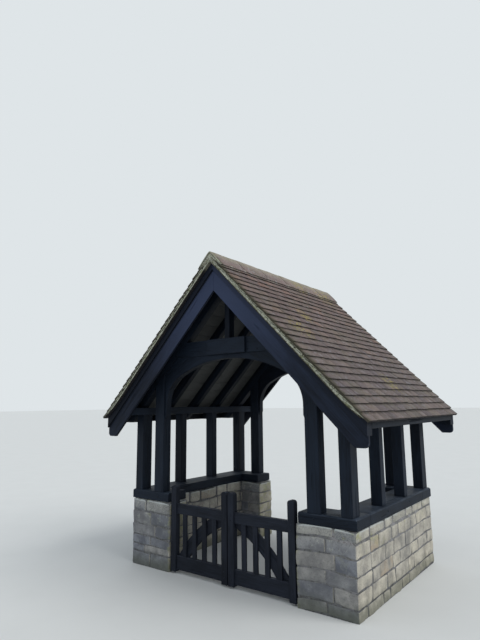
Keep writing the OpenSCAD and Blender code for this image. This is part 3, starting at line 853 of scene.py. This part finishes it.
def tile_shapes(course, length, half_y, draw):
    """Every tile in coordinates of its own: along it from the tail, across it and over it.

    The square of the distance from the middle bows it down, and it is turned, tilted and lifted a
    little. The way along it comes first as it was before the turn.
    """
    half = xyz(length / 2, half_y, TILE_THICK / 2)
    own = blocks(TILE_GRID, half * (1, 0, -1), half, TILE_EDGE)
    along, across, over = np.moveaxis(own, -1, 0)
    one_each = (len(course), 1)
    bow = CAMBER * draw.uniform(*CAMBER_SHARES, one_each)
    over = over - bow * (2 * along / length[:, None] - 1) ** 2
    over = over - CAMBER_ACROSS * bow * (across / half_y[:, None]) ** 2
    turn = draw.normal(0, TILE_TURN, one_each)
    lean = draw.normal(0, TILE_LEAN, one_each)
    lift = np.abs(draw.normal(0, TAIL_LIFT, one_each)) * (course > 0)[:, None]
    over = over + across * lean + lift * (1 - along / TILE_LENGTH)
    return along, along + across * turn, across - along * turn, over


def tile_coat(name, node, side, seed):
    """Lays the tiles of one slope.

    Each tile runs up from its tail along the chord that passes under the tail of the next course.
    """
    draw = np.random.default_rng(seed)
    course, middle_y, half_y = tile_rows()
    step = np.maximum(course, 0)
    under = np.where(course < 0, TILE_THICK, 0.0)
    slip = draw.normal(0, TAIL_SLIP, len(course)) * (course > 0)
    tail = tile_plane(tails[step] + slip, COAT - under)
    lap = tile_plane(tails[step] - GAUGE, COAT - TILE_THICK - under)
    run = (lap - tail) / np.linalg.norm(lap - tail, axis=-1, keepdims=True)
    out = run[:, ::-1] * (1, -1)
    length = np.where(course < 0, EAVES_TILE, np.minimum(TILE_LENGTH, tails[step] + HEAD_ROOM))
    own_run, along, across, over = tile_shapes(course, length, half_y, draw)
    place = tail[:, None] + along[..., None] * run[:, None] + over[..., None] * out[:, None]
    x, z = np.moveaxis(place, -1, 0)
    y = np.clip(middle_y[:, None] + across, EDGE_MARGIN / 2 - verge_y, verge_y - EDGE_MARGIN / 2)
    over_plane = x * np.sin(PITCH) + (z - apex_z) * np.cos(PITCH)
    tone = draw.beta(TONE_SPREAD, TONE_SPREAD, (len(course), 1))
    carried = {"tone": tone, "run": own_run, "over": over_plane}
    piece = build(name, xyz(x * side, y, z), TILE_GRID[2], "clay_tile", **carried)
    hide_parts(node)


tile_coat("clay_tiles_left", "tiles_left", -1, 5)
tile_coat("clay_tiles_right", "tiles_right", 1, 8)


# %% [markdown]
# Ridge tiles
#
# The ridge is capped by angled tiles, laid end to end in mortar. Across the ridge a tile is a bent
# strip: the distance from the fold counts down both wings, and a square root softens the fold.
# Along the ridge each tile is a little out of line with the next. The mortar under them is a slab
# of the same kind, a little smaller, so that it shows in the joints and under the edges.

# %% Ridge
RIDGE_COUNT = 6
RIDGE_JOINT = 0.009
RIDGE_FOLD = 0.016
RIDGE_WING = 0.230
RIDGE_THICK = 0.018
RIDGE_THIN = 0.007
RIDGE_SHARES = np.array([0, 0.02, 0.25, 0.5, 0.75, 0.98, 1])
RIDGE_COLUMNS = 25
RIDGE_EASE = 0.004
RIDGE_WAVE = 0.3
RIDGE_ROUGH = 0.0012
RIDGE_SINK = 0.002
RIDGE_SHIFT = 0.0012
RIDGE_SLANT = 0.002
RIDGE_CLEAR = 0.0003
RIDGE_TONES = (0.35, 0.8)

ridge_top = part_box("ridge_tiles")[1].z
ridge_under = COAT + RIDGE_CLEAR


def folded(reach, y, height, fold):
    """Points over both wings: reach counts from the ridge to either side, height from the slope."""
    down = np.sqrt(reach**2 + fold**2)
    peak = apex_z + height / np.cos(PITCH)
    return xyz(reach * np.cos(PITCH), y, peak - down * np.sin(PITCH))


def ridge(name, node, seed):
    """The ridge tiles, one slab each, thinner towards their lower edges and eased at their ends."""
    draw = np.random.default_rng(seed)
    ends = np.linspace(-verge_y, verge_y, RIDGE_COUNT + 1)
    joint = np.pad(np.full(RIDGE_COUNT - 1, RIDGE_JOINT / 2), 1)
    low, high = (ends + joint)[:-1], (ends - joint)[1:]
    share = RIDGE_SHARES[:, None]
    y = low[:, None, None] + (high - low)[:, None, None] * share
    reach = np.linspace(-RIDGE_WING, RIDGE_WING, RIDGE_COLUMNS)
    thick = RIDGE_THICK - RIDGE_THIN * (reach / RIDGE_WING) ** 4
    upper = folded(reach, y, ridge_under + thick, RIDGE_FOLD)
    lower = folded(reach, y, ridge_under, RIDGE_FOLD / 4)
    upper[..., 2] -= RIDGE_EASE * np.isin(share, (0, 1))
    upper[..., 2] += ripple(upper, RIDGE_WAVE, seed) * RIDGE_ROUGH - RIDGE_SINK
    offset = draw.normal(0, RIDGE_SHIFT, (RIDGE_COUNT, 1, 1))
    slant = draw.normal(0, RIDGE_SLANT, (RIDGE_COUNT, 1, 1)) * (share - 0.5)
    for sheet in (upper, lower):
        sheet[..., 0] += offset
        sheet[..., 2] += slant
    upper[..., 2] = np.minimum(upper[..., 2], ridge_top)
    tone = draw.uniform(*RIDGE_TONES, (RIDGE_COUNT, 1))
    run = np.full((1, 1), GAUGE / 2)
    piece = slab(name, upper, lower, "clay_tile", finish="ridge_clay", tone=tone, run=run)
    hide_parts(node)


ridge("ridge_caps", "ridge_tiles", 41)

# %% Mortar under the ridge
MORTAR_BACK = 0.007
MORTAR_MIDDLE = 0.012
MORTAR_RISE = 0.045
MORTAR_FOLD = 0.001
MORTAR_LUMP = 0.06
MORTAR_ROUGH = 0.0012
MORTAR_ROWS, MORTAR_COLUMNS = 60, 21


def ridge_mortar(name, seed):
    """A slab along the whole ridge, down to the boarding at the apex and to the tiles at its edges."""
    y = np.linspace(MORTAR_BACK - verge_y, verge_y - MORTAR_BACK, MORTAR_ROWS)[:, None]
    reach = np.linspace(-1, 1, MORTAR_COLUMNS) * (RIDGE_WING - MORTAR_BACK)
    over = ridge_under + RIDGE_THICK - RIDGE_THIN - MORTAR_BACK / 2
    under = MORTAR_MIDDLE + MORTAR_RISE * np.abs(reach) / RIDGE_WING
    upper = folded(reach, y, over, RIDGE_FOLD)
    upper[..., 2] += ripple(upper, MORTAR_LUMP, seed) * MORTAR_ROUGH
    slab(name, upper[None], folded(reach, y, under, MORTAR_FOLD)[None], "lime_mortar")


ridge_mortar("ridge_bed", 31)


# %% [markdown]
# Mortar at the verges
#
# Along both verges the edge tiles are bedded in mortar over the bargeboards. It is pushed in by
# trowel and weathers back unevenly. As a slab it runs down the slope, and soft lumps push its outer
# face in and out. It stops short of the eaves, where the roof thins out.

# %% Verge mortar
BED_LOW, BED_HIGH = 0.006, 0.030
BED_BACK = 0.008
BED_SHORT = 0.03
BED_LUMPS = [(0.09, 0.0016), (0.03, 0.0014)]
BED_ROWS, BED_COLUMNS = 150, 6

bed_end = boarded_to("verge_bedding_right")
inner_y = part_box("roof_boards_right")[1].y


def verge_mortar(name, node, side, seed):
    """Two slabs, one at each end of the roof. Columns run from the back of the bed to its face."""
    distance = np.linspace(0.0, bed_end - BED_SHORT, BED_ROWS)
    across = np.linspace(0, 1, BED_COLUMNS)
    grids = []
    for height in (BED_HIGH, BED_LOW):
        line = boarded(distance, height)
        sheet = xyz(line[:, :1], inner_y + (verge_y - BED_BACK - inner_y) * across, line[:, 1:])
        both = np.stack([sheet, sheet * (1, -1, 1)])
        push = ripples(both, BED_LUMPS, seed) * across**4
        both[..., 1] += np.sign(both[..., 1]) * push
        grids.append(both * (side, 1, 1))
    upper, lower = grids
    back = slab(f"{name}_back", upper[:1], lower[:1], "lime_mortar")
    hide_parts(node)
    slab(f"{name}_front", upper[1:], lower[1:], "lime_mortar")


verge_mortar("verge_mortar_left", "verge_bedding_left", -1, 61)
verge_mortar("verge_mortar_right", "verge_bedding_right", 1, 71)


# %% [markdown]
# Roof boarding and undercloak
#
# From inside, the roof shows its boarding between the rafters: boards laid along the roof, one
# above the other up the slope. Each is a block with a small gap to the next, and on the sweep every
# board simply takes the slope's direction at its middle. The same helper lays the undercloak, the
# row of thin tiles face down under the mortar of each verge. Their finish paints them dark as
# painted shade, so they show as a dark line there.

# %% Blocks down the slope
LAID_GRID = block_grid((2, 5, 0), 1)
LAID_GAP = 0.0015


def laid(ends, height, thick, middle_y, half_y, edge, side):
    """Blocks laid one below the other down the boarding, from each end to the next.

    Gives their points, and the same points in each block's own coordinates.
    """
    low, high = boarded(ends[:-1], height), boarded(ends[1:], height)
    width = np.linalg.norm(high - low, axis=-1)
    run = ((high - low) / width[:, None])[:, None]
    out = run[..., ::-1] * (-1, 1)
    half = xyz((width - LAID_GAP) / 2, half_y, thick / 2)
    own = blocks(LAID_GRID, half * 0, half, edge)
    place = ((low + high) / 2)[:, None] + own[..., :1] * run + own[..., 2:] * out
    return xyz(place[..., 0] * side, own[..., 1] + middle_y, place[..., 1]), own


print("a board or a cloak tile has", 2 * len(LAID_GRID[2]), "triangles")

# %% Boards
BOARD = 0.018
BOARD_WIDTH = 0.150
BOARD_START = 0.016
BOARD_STOP = 0.006
BOARD_EDGE = 0.0016
GRAIN_SHIFT = 5.0

board_end = boarded_to("roof_boards_right") - BOARD_STOP


def roof_boards(name, node, side, seed):
    """The boards of one slope, each with a grain and a tone of its own."""
    draw = np.random.default_rng(seed)
    count = round((board_end - BOARD_START) / BOARD_WIDTH)
    ends = np.linspace(BOARD_START, board_end, count + 1)
    points, own = laid(ends, -BOARD / 2, BOARD, 0, inner_y, BOARD_EDGE, side)
    grain = own[..., [1, 0, 2]] + draw.uniform(-GRAIN_SHIFT, GRAIN_SHIFT, (count, 1, 3))
    tone = draw.uniform(0, 1, (count, 1))
    piece = build(name, points, LAID_GRID[2], "bare_boards", grain=grain, tone=tone)
    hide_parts(node)


roof_boards("boarding_left", "roof_boards_left", -1, 81)
roof_boards("boarding_right", "roof_boards_right", 1, 91)
print("boards:", round(board_end, 3), "m down the slope,", round(2 * inner_y, 3), "m long")

# %% Undercloak
CLOAK = 0.0055
CLOAK_START = 0.01
CLOAK_LENGTH = 0.165
CLOAK_BACK = 0.003
CLOAK_OVER = 0.0002
CLOAK_EDGE = 0.001
CLOAK_TONES = (0, 0.6)


def undercloak(name, side, seed):
    """The thin tiles under both verges of one slope, from the apex to the end of the mortar."""
    draw = np.random.default_rng(seed)
    ends = np.linspace(CLOAK_START, bed_end, round(bed_end / CLOAK_LENGTH) + 1)
    half_y = (verge_y - CLOAK_BACK - inner_y) / 2
    height = CLOAK / 2 + CLOAK_OVER
    points, _ = laid(ends, height, CLOAK, inner_y + half_y, half_y, CLOAK_EDGE, side)
    # A run and an over of a whole gauge give the cloak tiles the painted shade of a lap, and no lime.
    deep = np.full((1, 1), GAUGE)
    for label, verge in (("back", points), ("front", points * (1, -1, 1))):
        tone = draw.uniform(*CLOAK_TONES, (len(points), 1))
        build(f"{name}_{label}", verge, LAID_GRID[2], "clay_tile", tone=tone, run=deep, over=deep)


undercloak("undercloak_left", -1, 93)
undercloak("undercloak_right", 1, 95)


# %% [markdown]
# Worked timbers
#
# The frame, the bargeboards and the gates already have their true shape. What a modelled solid
# lacks is the softness of a real arris, which catches the light along every edge. So each of these
# nodes is copied, its triangles are merged back into flat faces, and its sharp edges are bevelled
# by a few millimetres. The grain of each solid runs the way in which its points reach furthest.

# %% Grain of each solid
def islands(count, edges):
    """Labels the points of each separate solid with the lowest number that its edges reach."""
    label = np.arange(count)
    while True:
        lowest = label[edges].min(axis=1)
        after = label.copy()
        np.minimum.at(after, edges[:, 0], lowest)
        np.minimum.at(after, edges[:, 1], lowest)
        if np.array_equal(after, label):
            return label
        label = after


def grain_of(points, edges, draw):
    """Coordinates along, across and through each solid, with a tone and an offset of its own."""
    label = islands(len(points), edges)
    grain = np.zeros_like(points)
    tone = np.zeros(len(points))
    for solid in np.unique(label):
        mine = label == solid
        local = points[mine] - points[mine].mean(axis=0)
        axes = np.linalg.svd(local, full_matrices=False)[2]
        grain[mine] = local @ axes.T + draw.uniform(-GRAIN_SHIFT, GRAIN_SHIFT, 3)
        tone[mine] = draw.uniform(0, 1)
    return grain, tone


print("two edges apart make", len(set(islands(4, np.array([[0, 1], [2, 3]])))), "islands")

# %% Eased copies
MERGE = 1e-5
FLAT = np.radians(0.3)
SHARP = np.radians(28)
SMOOTH = np.radians(16)


def bevelled(source, ease):
    """A copy of a mesh with its triangles merged to flat faces and its sharp edges bevelled."""
    shape = bmesh.new()
    shape.from_mesh(source.data)
    bmesh.ops.remove_doubles(shape, verts=shape.verts, dist=MERGE)
    bmesh.ops.dissolve_limit(shape, angle_limit=FLAT, verts=shape.verts, edges=shape.edges)
    sharp = [edge for edge in shape.edges if edge.calc_face_angle(0) > SHARP]
    bmesh.ops.bevel(
        shape, geom=sharp, offset=ease, segments=2, profile=0.5, affect="EDGES", clamp_overlap=True
    )
    for face in shape.faces:
        face.smooth = True
    for edge in shape.edges:
        edge.smooth = edge.calc_face_angle(0) < SMOOTH
    mesh = bpy.data.meshes.new(source.name + ".eased")
    shape.to_mesh(mesh)
    shape.free()
    return mesh


def values_of(items, field, width, kind=float):
    """One field of all points, edges or faces of a mesh as an array."""
    flat = np.zeros(len(items) * width, kind)
    items.foreach_get(field, flat)
    return flat.reshape(-1, width)


def eased(node, slot, ease, seed=3, finish=None):
    """Replaces a node by a copy with bevelled edges, a grain and a marked arris."""
    source = frame["nodes"][node]
    mesh = bevelled(source, ease)
    points = values_of(mesh.vertices, "co", 3)
    edges = values_of(mesh.edges, "vertices", 2, int)
    grain, tone = grain_of(points, edges, np.random.default_rng(seed))
    area = values_of(mesh.polygons, "area", 1)[:, 0]
    carry(mesh, "grain", grain)
    carry(mesh, "tone", tone)
    carry(mesh, "arris", (area < 4 * ease**2) * 1.0, "FACE")
    piece = show(node + ".eased", mesh, slot, source["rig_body"], finish)
    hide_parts(node)
    print(f"{node}: {len(mesh.polygons)} faces, edges eased by {ease * 1000:g} mm")


print("corners sharper than", round(float(np.degrees(SHARP))), "degrees will be eased")

# %% Frame and gates
FRAME_NODES = [
    "end_sills_front", "end_sills_back", "side_sills", "main_posts_front", "main_posts_back",
    "corner_posts_front", "corner_posts_back", "side_studs", "wall_plates", "principals_front",
    "principals_back", "collars", "king_posts", "arch_braces_left", "arch_braces_right",
    "rafters_left", "rafters_right", "verge_rafters", "ridge_board", "bargeboards_left",
    "bargeboards_right", "eaves_fascias",
]
GATE_PARTS = ["stiles", "rails", "pickets", "brace"]
IRON_NODES = ["gate_left_straps", "gate_right_straps", "hinge_hooks_left", "hinge_hooks_right"]
FRAME_EASE, GATE_EASE, IRON_EASE = 0.004, 0.003, 0.001

for number, node in enumerate(FRAME_NODES):
    finish = "barge_timber" if node.startswith("bargeboards") else None
    eased(node, "dark_timber", FRAME_EASE, 100 + number, finish)
for number, side in enumerate(("left", "right")):
    for part in GATE_PARTS:
        eased(f"gate_{side}_{part}", "gate_paint", GATE_EASE, 200 + number)
for node in IRON_NODES:
    eased(node, "black_iron", IRON_EASE)


# %% [markdown]
# Pegs and bolts
#
# The mortices of an oak frame are locked by tapered pegs, which are driven in and left a little
# proud, and the straps of the gates are held by square-headed bolts. Both are rounded blocks again.
# A peg's edges take up all of its size, which makes it a flat dome. A bolt's take up little, which
# leaves it square. Their places are written as x and z on the right, and mirrored to the left.

# %% Heads
PEG = np.array([0.011, 0.004, 0.011])
SIDE_PEG = np.array([0.004, 0.011, 0.011])
GATE_PEG = np.array([0.009, 0.0035, 0.009])
BOLT = np.array([0.009, 0.005, 0.009])
BOLT_EDGE = 0.002

dome = block_grid((0, 0, 0), 2)
square = block_grid((2, 2, 2), 1)
print("a peg has", 2 * len(dome[2]), "triangles, a bolt", 2 * len(square[2]))


def heads(name, places, grid, half, edge, slot, body="structure", seed=7):
    """A rounded head on each of the given places, half sunk into the face that it stands on."""
    middle = np.array(places)
    points = blocks(grid, middle, np.broadcast_to(half, middle.shape), edge)
    draw = np.random.default_rng(seed)
    grain = points + draw.uniform(-GRAIN_SHIFT, GRAIN_SHIFT, (len(places), 1, 3))
    tone = draw.uniform(0, 1, (len(places), 1))
    build(name, points, grid[2], slot, body, grain=grain, tone=tone)


def frame_pegs(name, places, half):
    """Pegs on the given places of the right side and, mirrored, on the left."""
    places = places + [(-x, y, z) for x, y, z in places]
    heads(name, places, dome, half, half, "dark_timber")


# %% Pegs of the frame
END_PEGS = [
    ("end_sills_{}", [(1.017, 0.790), (1.348, 0.790)]),
    ("main_posts_{}", [(0.975, 1.720), (0.975, 1.830)]),
    ("principals_{}", [(0.995, 2.216), (1.040, 2.170), (0.745, 2.471), (0.795, 2.420)]),
    ("principals_{}", [(0.400, 2.395), (0.500, 2.395)]),
    ("collars", [(0.017, 2.500)]),
]
STUD_MIDDLES = (-0.352, 0.264)
SIDE_PEGS = {"wall_plates": 1.750, "side_sills": 0.790}

# A front face is at the low corner of its node's box, and a back face at the high one.
for corner, end in enumerate(("front", "back")):
    rows = [(node, x, z) for node, places in END_PEGS for x, z in places]
    rows = [(x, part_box(node.format(end))[corner].y, z) for node, x, z in rows]
    frame_pegs(f"pegs_{end}", rows, PEG)
rows = [(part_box(node)[1].x, y, z) for node, z in SIDE_PEGS.items() for y in STUD_MIDDLES]
frame_pegs("pegs_sides", rows, SIDE_PEG)

# %% Pegs and bolts of the gates
STILE_MIDDLES = (0.768, 0.044)
TENON_HEIGHTS = (0.085, 0.145, 0.653, 0.705)
BOLT_PLACES = (0.745, 0.630, 0.505)
STRAP_HEIGHTS = (0.114, 0.679)
STRAP_THICK = 0.006

for leaf, side in (("left", -1), ("right", 1)):
    stile_front, stile_back = (corner.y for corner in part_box(f"gate_{leaf}_stiles"))
    pegs = [(side * x, stile_front, z) for x in STILE_MIDDLES for z in TENON_HEIGHTS]
    body = f"gate_leaf_{leaf}"
    heads(f"pegs_gate_{leaf}", pegs, dome, GATE_PEG, GATE_PEG, "gate_paint", body)
    strap_y = stile_back + STRAP_THICK
    bolts = [(side * x, strap_y, z) for x in BOLT_PLACES for z in STRAP_HEIGHTS]
    heads(f"bolts_gate_{leaf}", bolts, square, BOLT, BOLT_EDGE, "black_iron", body)


# %% [markdown]
# Light and floor
#
# A soft lamp from the right, a little behind, models the roof and leaves the gable in shade, and
# even surroundings fill the rest. Together they are about as strong as plain white surroundings, so
# a colour comes out near the value it is written in. What the camera sees around the object is a
# separate, paler colour, picked by Light Path, and it lights nothing.

# %% Surroundings and lamp
FILL = 0.74
FILL_COLOUR = (0.91, 0.96, 1.0, 1.0)
LAMP = 1.7
LAMP_COLOUR = (1.0, 0.97, 0.92)
LAMP_ANGLE = np.radians(38)
LAMP_TURN = np.radians([46.0, 0.0, 98.0])

world = bpy.data.worlds.new("surroundings")
world.use_nodes = True
bpy.context.scene.world = world
around = Nodes(world.node_tree)
fill = around.tree.nodes["Background"]
around.put(fill.inputs["Color"], FILL_COLOUR)
around.put(fill.inputs["Strength"], FILL)
backdrop = around.add("Background", {}, {"Color": "#dfe5e8"})
seen, mirrored, through = (
    around.add("LightPath", {}, {}, f"Is {kind} Ray") for kind in ("Camera", "Glossy", "Transmission")
)
share = seen.larger(mirrored).larger(through)
chosen = around.add("MixShader", {}, {0: share, 1: Number(around, fill.outputs[0]), 2: backdrop})
around.put(around.tree.nodes["World Output"].inputs["Surface"], chosen)

lamp = bpy.data.lights.new("lamp", "SUN")
lamp.energy = LAMP
lamp.angle = LAMP_ANGLE
lamp.color = LAMP_COLOUR
stand("lamp", lamp).rotation_euler = LAMP_TURN
print("lamp", LAMP, "and fill", FILL)

# %% Floor
FLOOR_HALF = 150.0

pale = Finish("pale floor")
pale.put(pale.shader.inputs["Base Color"], pale.mix("#c9cccd", "#cfd2d3", pale.noise(2.0)))
pale.put(pale.shader.inputs["Roughness"], 0.9)
floor_mesh = bpy.data.meshes.new("floor")
floor_corners = np.array([(-1, -1, 0), (1, -1, 0), (1, 1, 0), (-1, 1, 0)])
floor_mesh.from_pydata(floor_corners * FLOOR_HALF, [], [(0, 1, 2, 3)])
floor_mesh.materials.append(pale.material)
floor = stand("floor", floor_mesh)
bpy.context.scene.view_settings.view_transform = "Standard"
print("floor:", 2 * FLOOR_HALF, "m wide")


# %% [markdown]
